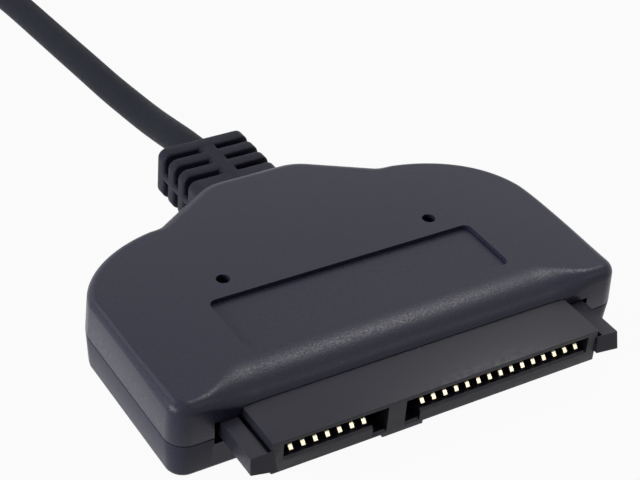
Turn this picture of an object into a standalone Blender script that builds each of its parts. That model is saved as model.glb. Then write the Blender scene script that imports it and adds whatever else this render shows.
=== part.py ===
"""USB to SATA adapter: flat two-part housing, receptacle connector, ribbed strain relief, cord and plug."""
import math

import bmesh
import bpy
import numpy as np
from mathutils import Vector

# Clearances
PIECE_GAP = 0.0003
CONTACT_GAP = 0.0001
SOLDER_GAP = 0.00005

# Housing seen from above; the front edge lies at y = 0
HALF_WIDTH = 0.02495
FRONT_CORNER = 0.0020
SIDE_LENGTH = 0.0130
SHOULDER_LENGTH = 0.01295
SHOULDER_END = 0.0155
NECK_BLEND = 0.0080
NECK_ANGLE = math.radians(30)
REAR_BLEND = 0.0050
REAR_FLAT = 0.00257

# Housing heights and edges
HEIGHT = 0.0082
SEAM_HEIGHT = 0.00385
WALL = 0.0014
DRAFT = 0.00015
FRONT_FILLET = 0.0028
CORNER_FILLET = 0.0017
SIDE_FILLET = 0.0012
REAR_FILLET = 0.0015
BASE_FILLET = 0.0005

# Recess and light holes in the top
RECESS_HALF_WIDTH = 0.01495
RECESS_FRONT = 0.0061
RECESS_LENGTH = 0.00678
RECESS_CORNER = 0.0010
RECESS_DEPTH = 0.00035
HOLE_RADIUS = 0.0007
HOLE_X = 0.0119
HOLE_Y = 0.0154

# Contacts; the two rows together span a whole number of pitches about the middle
CONTACT_PITCH = 0.00127
SIGNAL_COUNT = 7
POWER_COUNT = 15
ROWS_SPAN = 25
CONTACT_WIDTH = 0.0005
CONTACT_THICKNESS = 0.0002
CONTACT_SETBACK = 0.0004
CONTACT_RAMP = 0.00055
CONTACT_RISE = 0.0005
CONTACT_CREST = 0.0005
CONTACT_SPRING = 0.0040
CONTACT_TAIL = 0.0005
CONTACT_DROP = 0.0003
CONTACT_FOOT = 0.0013

# Receptacle connector
CONNECTOR_REACH = 0.00519
CONNECTOR_DEPTH = 0.0068
CONNECTOR_BASE = 0.0027
CONNECTOR_TOP = 0.00624
CONNECTOR_CHAMFER = 0.0007
SLOT_FLOOR = 0.0041
SLOT_CEILING = 0.0058
SLOT_LEG_FLOOR = 0.0031
SLOT_DEPTH = 0.0062
SLOT_LEAD_IN = 0.00023
SLOT_END_MARGIN = 0.001025
SLOT_SIDE_WALL = 0.00114
SIGNAL_KEY_MARGIN = 0.00228
SIGNAL_LEG = 0.00155
POWER_KEY_MARGIN = 0.00214
POWER_LEG = 0.00168
KEEL_DROP = 0.00035
KEEL_MARGIN = 0.0004

# Guide ears beside the connector
EAR_GROOVE = 0.00056
EAR_WIDTH = 0.0017
EAR_BASE = 0.00375
EAR_FLOOR = 0.00475
EAR_TOP = 0.0055
EAR_BRIDGE = 0.0052
EAR_OUTER_TOP_REACH = 0.0053
EAR_INNER_TOP_REACH = 0.00565
EAR_OUTER_LOW_REACH = 0.0055
EAR_TIP = 0.00605
EAR_NOSE_SLOPE = 0.0002

# Circuit board and the parts soldered to it
BOARD_MARGIN = 0.001625
BOARD_LENGTH = 0.0166
BOARD_THICKNESS = 0.0010
BOARD_TOP = 0.0039
BOARD_CORNER = 0.0025
POST_RADIUS = 0.0013
POST_INSET = 0.0020
POST_FRONT = 0.0022
POST_REAR = 0.0117
LED_SIZE = (0.0016, 0.0008, 0.0006)

# Name, x, distance behind the middle of the board, width, length, height and paint of each part
BOARD_PARTS = (
    ("bridge_chip", 0.0, 0.0, 0.0070, 0.0070, 0.0009, "chip_black"),
    ("crystal", 0.0065, 0.0, 0.0032, 0.0025, 0.0008, "plated_steel"),
    ("regulator", -0.0070, 0.0010, 0.0030, 0.0030, 0.0011, "chip_black"),
    ("inductor", -0.0115, 0.0045, 0.0030, 0.0030, 0.0012, "ferrite_grey"),
    ("capacitor_input", -0.0065, 0.0055, 0.0020, 0.0013, 0.0013, "ceramic_tan"),
    ("capacitor_output", -0.0078, -0.0030, 0.0020, 0.0013, 0.0013, "ceramic_tan"),
)

# Strain relief
RELIEF_HALF_WIDTH = 0.0052
RELIEF_HALF_HEIGHT = 0.00295
RELIEF_CENTRE = 0.0032
RELIEF_LENGTH = 0.0104
RELIEF_CORNER = 0.0014
RELIEF_NECK_HALF_WIDTH = 0.0032
RELIEF_NECK_HALF_HEIGHT = 0.0021
RELIEF_FLANGE_HALF_WIDTH = 0.0052
RELIEF_FLANGE_LENGTH = 0.0030
RIB_SLOT_WIDTH = 0.00075
RIB_SLOT_DEPTH = 0.0010
RIB_SLOT_PITCH = 0.0023
RIB_SLOT_LAST = 0.00205
RIB_TOP_SPINE = 0.00087
RIB_SIDE_SPINE = 0.0004

# Cord
CORD_RADIUS = 0.00175
CORD_REST = 0.00178
CORD_STEP = 0.0027
LOOP_RADIUS = 0.0175
LOOP_TILT = math.radians(15)
WIRE_RADIUS = 0.0003
WIRE_PITCH = 0.0014
WIRE_PAD = 0.0012
WIRE_NAMES = ("wire_ground", "wire_power", "wire_data_minus", "wire_data_plus", "wire_send_minus",
              "wire_send_plus", "wire_receive_minus", "wire_receive_plus")

# Plug on the far end of the cord
GRIP_HALF_WIDTH = 0.0080
GRIP_HEIGHT = 0.0080
GRIP_LENGTH = 0.0240
GRIP_NOSE = 0.0070
GRIP_NOSE_HALF_WIDTH = 0.0045
GRIP_EDGE = 0.0010
PLUG_HALF_WIDTH = 0.0060
PLUG_HEIGHT = 0.0045
PLUG_REACH = 0.01875
PLUG_ROOT = 0.0060
PLUG_SHEET = 0.0003
WINDOW_OFFSET = 0.00275
WINDOW_WIDTH = 0.0025
WINDOW_LENGTH = 0.0020
WINDOW_SETBACK = 0.0052
INSULATOR_DEPTH = 0.0055
TONGUE_THICKNESS = 0.0019
PLUG_CONTACT_THICKNESS = 0.0002
BLADE_OFFSETS = (-0.0035, -0.0010, 0.0010, 0.0035)
BLADE_WIDTH = 0.0010
BLADE_START = 0.0025
BLADE_SETBACK = 0.0012
REAR_BLADE_PITCH = 0.0020
REAR_BLADE_WIDTH = 0.0006
REAR_BLADE_LENGTH = 0.0015

# Positions that follow from the sizes
SIGNAL_FIRST = -ROWS_SPAN / 2 * CONTACT_PITCH
SIGNAL_LAST = SIGNAL_FIRST + (SIGNAL_COUNT - 1) * CONTACT_PITCH
POWER_LAST = ROWS_SPAN / 2 * CONTACT_PITCH
POWER_FIRST = POWER_LAST - (POWER_COUNT - 1) * CONTACT_PITCH
SIGNAL_SLOT = (SIGNAL_FIRST - SLOT_END_MARGIN, SIGNAL_LAST + SIGNAL_KEY_MARGIN)
POWER_SLOT = (POWER_FIRST - POWER_KEY_MARGIN, POWER_LAST + SLOT_END_MARGIN)
CONNECTOR_HALF_WIDTH = POWER_SLOT[1] + SLOT_SIDE_WALL
EAR_INNER = CONNECTOR_HALF_WIDTH + EAR_GROOVE
EAR_OUTER = EAR_INNER + EAR_WIDTH
BOARD_HALF_WIDTH = POWER_LAST + BOARD_MARGIN
POST_X = BOARD_HALF_WIDTH - POST_INSET
SHOULDER_TOP = SIDE_LENGTH + SHOULDER_LENGTH
NECK_START_X = SHOULDER_END - NECK_BLEND * math.sin(NECK_ANGLE)
NECK_START_Y = SHOULDER_TOP + NECK_BLEND * (1 - math.cos(NECK_ANGLE))
NECK_END_X = REAR_FLAT + REAR_BLEND * math.sin(NECK_ANGLE)
NECK_END_Y = NECK_START_Y + (NECK_START_X - NECK_END_X) * math.tan(NECK_ANGLE)
HOUSING_LENGTH = NECK_END_Y + REAR_BLEND * (1 - math.cos(NECK_ANGLE))
RELIEF_END = HOUSING_LENGTH + RELIEF_LENGTH
CENTRE_Y = (RELIEF_END - EAR_TIP) / 2
FACE_Y = -CONNECTOR_REACH
BOARD_FRONT = CONNECTOR_DEPTH + PIECE_GAP
BOARD_REAR = BOARD_FRONT + BOARD_LENGTH
SEAT = BOARD_TOP + SOLDER_GAP


# Scene helpers

def clear_scene():
    for item in list(bpy.data.objects):
        bpy.data.objects.remove(item, do_unlink=True)


def new_collection(name):
    group = bpy.data.collections.new(name)
    bpy.context.scene.collection.children.link(group)
    return group


def new_material(name, colour, roughness, metallic=0.0):
    paint = bpy.data.materials.new(name)
    paint.use_nodes = True
    shader = paint.node_tree.nodes["Principled BSDF"]
    shader.inputs["Base Color"].default_value = (*colour, 1.0)
    shader.inputs["Roughness"].default_value = roughness
    shader.inputs["Metallic"].default_value = metallic
    paint.diffuse_color = (*colour, 1.0)
    return paint


def place(name, mesh, paint=None, location=(0, 0, 0), rotation=(0, 0, 0)):
    """Make an object of a mesh: a visible piece when it has a paint, else a cutter or a helper shape."""
    item = bpy.data.objects.new(name, mesh)
    item.location = location
    item.rotation_euler = rotation
    item.parent = ROOT
    if paint is None:
        CUTTERS.objects.link(item)
        item.display_type = "WIRE"
        item.hide_render = True
    else:
        PIECES.objects.link(item)
        mesh.materials.clear()
        mesh.materials.append(paint)
    return item


def boolean(item, operand, operation="DIFFERENCE"):
    step = item.modifiers.new(operand.name, "BOOLEAN")
    step.operation = operation
    step.solver = "EXACT"
    step.object = operand


def shade_round(mesh, limit=math.radians(35)):
    """Shade a mesh smooth, keeping its edges sharp where the faces meet at more than the limit."""
    form = bmesh.new()
    form.from_mesh(mesh)
    for face in form.faces:
        face.smooth = True
    for edge in form.edges:
        edge.smooth = len(edge.link_faces) == 2 and edge.calc_face_angle(0.0) < limit
    form.to_mesh(mesh)
    form.free()


# Shape helpers

def box_mesh(name, boxes):
    """Boxes given as (x0, x1, y0, y1, z0, z1), apart from each other, in one mesh."""
    form = bmesh.new()
    for x0, x1, y0, y1, z0, z1 in boxes:
        corners = bmesh.ops.create_cube(form, size=1.0)["verts"]
        bmesh.ops.scale(form, vec=(x1 - x0, y1 - y0, z1 - z0), verts=corners)
        bmesh.ops.translate(form, vec=((x0 + x1) / 2, (y0 + y1) / 2, (z0 + z1) / 2), verts=corners)
    mesh = bpy.data.meshes.new(name)
    form.to_mesh(mesh)
    form.free()
    return mesh


def cylinder_mesh(name, cylinders, segments=20):
    """Upright cylinders given as (x, y, z0, z1, radius), apart from each other, in one mesh."""
    form = bmesh.new()
    for x, y, z0, z1, radius in cylinders:
        corners = bmesh.ops.create_cone(form, cap_ends=True, segments=segments, radius1=radius,
                                        radius2=radius, depth=z1 - z0)["verts"]
        bmesh.ops.translate(form, vec=(x, y, (z0 + z1) / 2), verts=corners)
    mesh = bpy.data.meshes.new(name)
    form.to_mesh(mesh)
    form.free()
    return mesh


def curve_to_mesh(name, curve):
    """Turn a curve into a clean closed mesh and remove the curve."""
    holder = bpy.data.objects.new(name + "_curve", curve)
    CUTTERS.objects.link(holder)
    bpy.context.view_layer.update()
    evaluated = holder.evaluated_get(bpy.context.evaluated_depsgraph_get())
    mesh = bpy.data.meshes.new_from_object(evaluated)
    mesh.name = name
    form = bmesh.new()
    form.from_mesh(mesh)
    bmesh.ops.remove_doubles(form, verts=form.verts, dist=0.000001)
    bmesh.ops.recalc_face_normals(form, faces=form.faces)
    form.to_mesh(mesh)
    form.free()
    bpy.data.objects.remove(holder, do_unlink=True)
    return mesh


def plate_mesh(name, outlines, thickness):
    """Flat outlines extruded to a thickness about their own plane."""
    curve = bpy.data.curves.new(name, "CURVE")
    curve.dimensions = "2D"
    curve.fill_mode = "BOTH"
    curve.extrude = thickness / 2
    for outline in outlines:
        spline = curve.splines.new("POLY")
        spline.points.add(len(outline) - 1)
        spline.use_cyclic_u = True
        for point, (x, y) in zip(spline.points, outline):
            point.co = (x, y, 0.0, 1.0)
    return curve_to_mesh(name, curve)


def tube_mesh(name, route, radius, resolution):
    """A round tube with closed ends along a route of points."""
    curve = bpy.data.curves.new(name, "CURVE")
    curve.dimensions = "3D"
    curve.bevel_depth = radius
    curve.bevel_resolution = resolution
    curve.use_fill_caps = True
    spline = curve.splines.new("POLY")
    spline.points.add(len(route) - 1)
    for point, (x, y, z) in zip(spline.points, route):
        point.co = (x, y, z, 1.0)
    mesh = curve_to_mesh(name, curve)
    shade_round(mesh, math.radians(60))
    return mesh


def loft_mesh(name, lofts):
    """Closed bodies drawn through rings of equal point counts, the two ends filled flat."""
    form = bmesh.new()
    for rings in lofts:
        rows = [[form.verts.new(point) for point in ring] for ring in rings]
        count = len(rows[0])
        for lower, upper in zip(rows, rows[1:]):
            for i in range(count):
                j = (i + 1) % count
                form.faces.new((lower[i], lower[j], upper[j], upper[i]))
        form.faces.new(list(reversed(rows[0])))
        form.faces.new(rows[-1])
    bmesh.ops.recalc_face_normals(form, faces=form.faces)
    mesh = bpy.data.meshes.new(name)
    form.to_mesh(mesh)
    form.free()
    return mesh


def hull_mesh(name, groups):
    """Convex bodies, each drawn tight round its own group of points."""
    form = bmesh.new()
    for points in groups:
        corners = [form.verts.new(point) for point in points]
        bmesh.ops.convex_hull(form, input=corners)
    bmesh.ops.recalc_face_normals(form, faces=form.faces)
    mesh = bpy.data.meshes.new(name)
    form.to_mesh(mesh)
    form.free()
    return mesh


def rounded_rectangle(x0, x1, y0, y1, radius, steps=4):
    """Outline of a rectangle with round corners, counter-clockwise."""
    points = []
    corners = ((x1 - radius, y0 + radius, -90), (x1 - radius, y1 - radius, 0),
               (x0 + radius, y1 - radius, 90), (x0 + radius, y0 + radius, 180))
    for cx, cy, start in corners:
        for step in range(steps + 1):
            turn = math.radians(start + 90 * step / steps)
            points.append((cx + radius * math.cos(turn), cy + radius * math.sin(turn)))
    return points


def ribbon_outline(line, thickness):
    """Outline of a bent strip of even thickness about a centre line."""
    points = [Vector(p) for p in line]
    left, right = [], []
    for i, point in enumerate(points):
        before = (point - points[i - 1]).normalized() if i else None
        after = (points[i + 1] - point).normalized() if i + 1 < len(points) else None
        heading = ((before or after) + (after or before)).normalized()
        reach = thickness / 2 / heading.dot(after or before)
        side = Vector((-heading.y, heading.x)) * reach
        left.append(tuple(point + side))
        right.append(tuple(point - side))
    return left + right[::-1]


def smooth_route(points, step):
    """Read a smooth curve through the points at even distances."""
    knots = np.array(points)
    chord = np.concatenate([[0.0], np.cumsum(np.linalg.norm(np.diff(knots, axis=0), axis=1))])
    count = len(knots)
    gap = np.diff(chord)
    system = np.eye(count)
    right_side = np.zeros((count, 3))
    for i in range(1, count - 1):
        system[i, i - 1] = gap[i - 1]
        system[i, i] = 2 * (gap[i - 1] + gap[i])
        system[i, i + 1] = gap[i]
        right_side[i] = 6 * ((knots[i + 1] - knots[i]) / gap[i] - (knots[i] - knots[i - 1]) / gap[i - 1])
    bend = np.linalg.solve(system, right_side)
    fine = []
    for i in range(count - 1):
        for t in np.linspace(0.0, gap[i], 40, endpoint=False):
            u = gap[i] - t
            fine.append((bend[i] * u ** 3 + bend[i + 1] * t ** 3) / (6 * gap[i])
                        + (knots[i] / gap[i] - bend[i] * gap[i] / 6) * u
                        + (knots[i + 1] / gap[i] - bend[i + 1] * gap[i] / 6) * t)
    fine.append(knots[-1])
    fine = np.array(fine)
    run = np.concatenate([[0.0], np.cumsum(np.linalg.norm(np.diff(fine, axis=0), axis=1))])
    stations = np.linspace(0.0, run[-1], max(2, round(run[-1] / step)) + 1)
    return np.stack([np.interp(stations, run, fine[:, axis]) for axis in range(3)], axis=1).tolist()


# Housing outline

def fade(first, last, share):
    share = min(max(share, 0.0), 1.0)
    return first + (last - first) * share * share * (3 - 2 * share)


def right_outline():
    """Right half of the plan outline from front to rear: x, y, outward direction, top fillet."""
    points = []
    flat = HALF_WIDTH - FRONT_CORNER
    for share in (0.0, 0.35, 0.6, 0.72, 0.84, 0.93):
        fillet = fade(FRONT_FILLET, CORNER_FILLET, (share - 0.6) / 0.4)
        points.append((flat * share, 0.0, 0.0, -1.0, fillet))
    for step in range(7):
        turn = math.radians(90 * step / 6)
        points.append((flat + FRONT_CORNER * math.sin(turn), FRONT_CORNER * (1 - math.cos(turn)),
                       math.sin(turn), -math.cos(turn), CORNER_FILLET))
    for share in (0.15, 0.35, 0.6):
        y = FRONT_CORNER + (SIDE_LENGTH - FRONT_CORNER) * share
        points.append((HALF_WIDTH, y, 1.0, 0.0, fade(CORNER_FILLET, SIDE_FILLET, share / 0.6)))
    width = HALF_WIDTH - SHOULDER_END
    for step in range(11):
        turn = math.radians(90 * step / 10)
        slope = Vector((math.cos(turn) / width, math.sin(turn) / SHOULDER_LENGTH)).normalized()
        points.append((SHOULDER_END + width * math.cos(turn), SIDE_LENGTH + SHOULDER_LENGTH * math.sin(turn),
                       slope.x, slope.y, SIDE_FILLET))
    for step in range(1, 5):
        turn = NECK_ANGLE * step / 4
        points.append((SHOULDER_END - NECK_BLEND * math.sin(turn),
                       SHOULDER_TOP + NECK_BLEND * (1 - math.cos(turn)),
                       math.sin(turn), math.cos(turn), fade(SIDE_FILLET, REAR_FILLET, step / 4)))
    for step in range(5):
        turn = NECK_ANGLE * (1 - step / 4)
        points.append((REAR_FLAT + REAR_BLEND * math.sin(turn),
                       HOUSING_LENGTH - REAR_BLEND * (1 - math.cos(turn)),
                       math.sin(turn), math.cos(turn), REAR_FILLET))
    points.append((0.0, HOUSING_LENGTH, 0.0, 1.0, REAR_FILLET))
    return points


def whole_outline():
    right = right_outline()
    left = [(-x, y, -nx, ny, fillet) for x, y, nx, ny, fillet in right[1:-1]]
    return right + left[::-1]


def ring(inset, height):
    """One ring of the housing; inset and height are numbers or depend on the local top fillet."""
    points = []
    for x, y, nx, ny, fillet in whole_outline():
        away = inset(fillet) if callable(inset) else inset
        level = height(fillet) if callable(height) else height
        points.append((x - nx * away, y - ny * away, level))
    return points


def domed_rings(first, wall, steps):
    """Rings of the upper half: a drafted side from the first height, then the rounded top edge."""
    rings = [ring(wall, first)]
    for step in range(steps + 1):
        turn = math.radians(90 * step / steps)

        def inset(fillet):
            radius = max(fillet - wall, PIECE_GAP)
            return wall + DRAFT + radius * (1 - math.cos(turn))

        def level(fillet):
            radius = max(fillet - wall, PIECE_GAP)
            return HEIGHT - wall - radius * (1 - math.sin(turn))

        rings.append(ring(inset, level))
    return rings


def prism_mesh(name, inset, bottom, top):
    return loft_mesh(name, [[ring(inset, bottom), ring(inset, top)]])


# Housing covers

def connector_opening():
    """Hole in the front wall: the connector's section with its ears, and a gap all round."""
    main = (-CONNECTOR_HALF_WIDTH - PIECE_GAP, CONNECTOR_HALF_WIDTH + PIECE_GAP)
    ears = (-EAR_OUTER - PIECE_GAP, EAR_OUTER + PIECE_GAP)
    low, high = CONNECTOR_BASE - PIECE_GAP, CONNECTOR_TOP + PIECE_GAP
    ear_low, ear_high = EAR_BASE - PIECE_GAP, EAR_TOP + PIECE_GAP
    outline = [(main[0], low), (main[1], low), (main[1], ear_low), (ears[1], ear_low),
               (ears[1], ear_high), (main[1], ear_high), (main[1], high), (main[0], high),
               (main[0], ear_high), (ears[0], ear_high), (ears[0], ear_low), (main[0], ear_low)]
    depth = 2 * (WALL + PIECE_GAP) + CORNER_FILLET
    return place("front_opening", plate_mesh("front_opening", [outline], depth),
                 rotation=(math.radians(90), 0, 0), location=(0, WALL + PIECE_GAP, 0))


def relief_opening():
    """Hole in the rear wall round the neck of the strain relief."""
    outline = rounded_rectangle(-RELIEF_NECK_HALF_WIDTH - PIECE_GAP, RELIEF_NECK_HALF_WIDTH + PIECE_GAP,
                                -RELIEF_NECK_HALF_HEIGHT - PIECE_GAP, RELIEF_NECK_HALF_HEIGHT + PIECE_GAP,
                                RELIEF_CORNER / 2 + PIECE_GAP)
    return place("rear_opening", plate_mesh("rear_opening", [outline], 3 * WALL),
                 rotation=(math.radians(90), 0, 0), location=(0, HOUSING_LENGTH - WALL / 2, RELIEF_CENTRE))


def post_places():
    """Where the posts of the two covers hold the circuit board."""
    return [(side * POST_X, BOARD_FRONT + along) for side in (-1, 1) for along in (POST_FRONT, POST_REAR)]


def make_top_cover(front_opening, rear_opening):
    mesh = loft_mesh("top_cover", [domed_rings(SEAM_HEIGHT + PIECE_GAP / 2, 0.0, 6)])
    shade_round(mesh)
    cover = place("top_cover", mesh, SHELL)
    cavity = loft_mesh("top_cavity", [domed_rings(SEAM_HEIGHT - WALL, WALL, 3)])
    boolean(cover, place("top_cavity", cavity))
    posts = [(x, y, BOARD_TOP + PIECE_GAP, HEIGHT - WALL / 2, POST_RADIUS) for x, y in post_places()]
    boolean(cover, place("top_posts", cylinder_mesh("top_posts", posts, 16)), "UNION")
    boolean(cover, front_opening)
    boolean(cover, rear_opening)
    recess = rounded_rectangle(-RECESS_HALF_WIDTH, RECESS_HALF_WIDTH, RECESS_FRONT,
                               RECESS_FRONT + RECESS_LENGTH, RECESS_CORNER, 5)
    boolean(cover, place("recess", plate_mesh("recess", [recess], 2 * RECESS_DEPTH), location=(0, 0, HEIGHT)))
    holes = [(side * HOLE_X, HOLE_Y, HEIGHT - 2 * WALL, HEIGHT + WALL, HOLE_RADIUS) for side in (-1, 1)]
    boolean(cover, place("light_holes", cylinder_mesh("light_holes", holes)))


def make_bottom_cover(front_opening, rear_opening):
    rings = []
    for step in range(4):
        turn = math.radians(90 * step / 3)
        rings.append(ring(DRAFT + BASE_FILLET * (1 - math.sin(turn)), BASE_FILLET * (1 - math.cos(turn))))
    rings.append(ring(0.0, SEAM_HEIGHT - PIECE_GAP / 2))
    mesh = loft_mesh("bottom_cover", [rings])
    shade_round(mesh)
    cover = place("bottom_cover", mesh, SHELL)
    cavity = loft_mesh("bottom_cavity", [[ring(WALL + DRAFT, WALL), ring(WALL, HEIGHT)]])
    boolean(cover, place("bottom_cavity", cavity))
    posts = [(x, y, WALL / 2, BOARD_TOP - BOARD_THICKNESS - PIECE_GAP, POST_RADIUS) for x, y in post_places()]
    boolean(cover, place("bottom_posts", cylinder_mesh("bottom_posts", posts, 16)), "UNION")
    stops = []
    for side in (-1, 1):
        x0, x1 = sorted((side * (BOARD_HALF_WIDTH + 2 * PIECE_GAP), side * EAR_OUTER))
        start = CONNECTOR_DEPTH + PIECE_GAP
        stops.append((x0, x1, start, start + WALL, WALL / 2, SEAM_HEIGHT - PIECE_GAP))
    boolean(cover, place("connector_stops", box_mesh("connector_stops", stops)), "UNION")
    boolean(cover, front_opening)
    boolean(cover, rear_opening)


# Receptacle connector

def ear_rings(side):
    """One ear behind its nose: an upright beside the low floor of a groove along the connector."""
    inner = CONNECTOR_HALF_WIDTH - CONTACT_GAP
    section = [(inner, EAR_BASE), (EAR_OUTER, EAR_BASE), (EAR_OUTER, EAR_TOP), (EAR_INNER, EAR_TOP),
               (EAR_INNER, EAR_FLOOR), (inner, EAR_FLOOR)]
    stations = (CONNECTOR_DEPTH - WALL, -EAR_BRIDGE - SOLDER_GAP)
    return [[(side * x, y, z) for x, z in section] for y in stations]


def ear_nose(side):
    """Corners of the block that closes the groove in front; its face is creased from corner to corner."""
    inner = side * (CONNECTOR_HALF_WIDTH - CONTACT_GAP)
    outer = side * EAR_OUTER
    return [(inner, -EAR_BRIDGE, EAR_BASE), (outer, -EAR_BRIDGE, EAR_BASE),
            (outer, -EAR_BRIDGE, EAR_TOP), (inner, -EAR_BRIDGE, EAR_TOP),
            (inner, -EAR_TIP, EAR_BASE), (outer, -EAR_OUTER_LOW_REACH, EAR_BASE),
            (outer, -EAR_OUTER_TOP_REACH, EAR_TOP), (inner, -EAR_INNER_TOP_REACH, EAR_TOP - EAR_NOSE_SLOPE)]


def slot_rings(span, leg, leg_low):
    """Section of one slot with its key leg, flared downwards at the mouth."""
    x0, x1 = span
    rings = []
    for y, flare in ((FACE_Y - SLOT_LEAD_IN, 2 * SLOT_LEAD_IN), (FACE_Y + SLOT_LEAD_IN, 0.0),
                     (FACE_Y + SLOT_DEPTH, 0.0)):
        floor, deep = SLOT_FLOOR - flare, SLOT_LEG_FLOOR - flare
        if leg_low:
            section = [(x0, deep), (x0 + leg, deep), (x0 + leg, floor), (x1, floor),
                       (x1, SLOT_CEILING), (x0, SLOT_CEILING)]
        else:
            section = [(x0, floor), (x1 - leg, floor), (x1 - leg, deep), (x1, deep),
                       (x1, SLOT_CEILING), (x0, SLOT_CEILING)]
        rings.append([(x, y, z) for x, z in section])
    return rings


def contact_places():
    signal = [("contact_s%d" % (i + 1), SIGNAL_FIRST + i * CONTACT_PITCH) for i in range(SIGNAL_COUNT)]
    power = [("contact_p%d" % (i + 1), POWER_FIRST + i * CONTACT_PITCH) for i in range(POWER_COUNT)]
    return signal + power


def make_connector():
    half, cut = CONNECTOR_HALF_WIDTH, CONNECTOR_CHAMFER
    outline = [(-half + cut, FACE_Y), (half - cut, FACE_Y), (half, FACE_Y + cut), (half, CONNECTOR_DEPTH),
               (-half, CONNECTOR_DEPTH), (-half, FACE_Y + cut)]
    body = place("connector_body", plate_mesh("connector_body", [outline], CONNECTOR_TOP - CONNECTOR_BASE),
                 MOULDING, location=(0, 0, (CONNECTOR_TOP + CONNECTOR_BASE) / 2))
    boolean(body, place("ears", loft_mesh("ears", [ear_rings(-1), ear_rings(1)])), "UNION")
    boolean(body, place("ear_noses", hull_mesh("ear_noses", [ear_nose(-1), ear_nose(1)])), "UNION")
    keel = (SIGNAL_SLOT[1] - KEEL_MARGIN, POWER_SLOT[0] + POWER_LEG + KEEL_MARGIN, FACE_Y, -PIECE_GAP,
            CONNECTOR_BASE - KEEL_DROP, CONNECTOR_BASE + KEEL_DROP)
    boolean(body, place("keel", box_mesh("keel", [keel])), "UNION")
    slots =loft_mesh("slots", [slot_rings(SIGNAL_SLOT, SIGNAL_LEG, False),
                                slot_rings(POWER_SLOT, POWER_LEG, True)])
    boolean(body, place("slots", slots))
    reach = CONTACT_WIDTH / 2 + CONTACT_GAP
    level = contact_level()
    channels = [(x - reach, x + reach, FACE_Y + SLOT_DEPTH - PIECE_GAP, CONNECTOR_DEPTH + PIECE_GAP,
                 level - CONTACT_THICKNESS / 2 - CONTACT_GAP, level + CONTACT_THICKNESS / 2 + CONTACT_GAP)
                for _, x in contact_places()]
    boolean(body, place("contact_channels", box_mesh("contact_channels", channels)))


def contact_level():
    return SLOT_FLOOR + CONTACT_THICKNESS / 2 + 1.3 * CONTACT_GAP


def make_contacts():
    level, foot = contact_level(), SEAT + CONTACT_THICKNESS / 2
    tip = FACE_Y + CONTACT_SETBACK
    crest = tip + CONTACT_RAMP
    tail = CONNECTOR_DEPTH + CONTACT_TAIL
    line = [(tip, level), (crest, level + CONTACT_RISE),
            (crest + CONTACT_CREST, level + 0.9 * CONTACT_RISE), (FACE_Y + CONTACT_SPRING, level),
            (tail, level), (tail + CONTACT_DROP, foot), (tail + CONTACT_DROP + CONTACT_FOOT, foot)]
    outline = ribbon_outline(line, CONTACT_THICKNESS)
    for name, x in contact_places():
        place(name, plate_mesh(name, [outline], CONTACT_WIDTH), GOLD, location=(x, 0, 0),
              rotation=(math.radians(90), 0, math.radians(90)))


# Circuit board

def make_board():
    half, cut = BOARD_HALF_WIDTH, BOARD_CORNER
    outline = [(-half, BOARD_FRONT), (half, BOARD_FRONT), (half, BOARD_REAR - cut), (half - cut, BOARD_REAR),
               (-half + cut, BOARD_REAR), (-half, BOARD_REAR - cut)]
    place("circuit_board", plate_mesh("circuit_board", [outline], BOARD_THICKNESS), LAMINATE,
          location=(0, 0, BOARD_TOP - BOARD_THICKNESS / 2))
    middle = (BOARD_FRONT + BOARD_REAR) / 2
    parts = [(name, x, middle + behind, size, bpy.data.materials[paint])
             for name, x, behind, *size, paint in BOARD_PARTS]
    parts += [("led_left", -HOLE_X, HOLE_Y, LED_SIZE, LENS), ("led_right", HOLE_X, HOLE_Y, LED_SIZE, LENS)]
    for name, x, y, (width, length, height), paint in parts:
        block = (x - width / 2, x + width / 2, y - length / 2, y + length / 2, SEAT, SEAT + height)
        place(name, box_mesh(name, [block]), paint)


# Strain relief

def rib_slot_outline(side, up):
    """One quarter of the groove round the block, between its top or bottom spine and its side spine."""
    wide, tall = RELIEF_HALF_WIDTH, RELIEF_HALF_HEIGHT
    deep_x, deep_z = wide - RIB_SLOT_DEPTH, tall - RIB_SLOT_DEPTH
    radius = RELIEF_CORNER / 2
    points = [(RIB_TOP_SPINE, tall + PIECE_GAP), (RIB_TOP_SPINE, deep_z)]
    for step in range(4):
        turn = math.radians(90 - 30 * step)
        points.append((deep_x - radius + radius * math.cos(turn), deep_z - radius + radius * math.sin(turn)))
    points += [(deep_x, RIB_SIDE_SPINE), (wide + PIECE_GAP, RIB_SIDE_SPINE), (wide + PIECE_GAP, tall + PIECE_GAP)]
    return [(side * x, up * z) for x, z in points]


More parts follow.
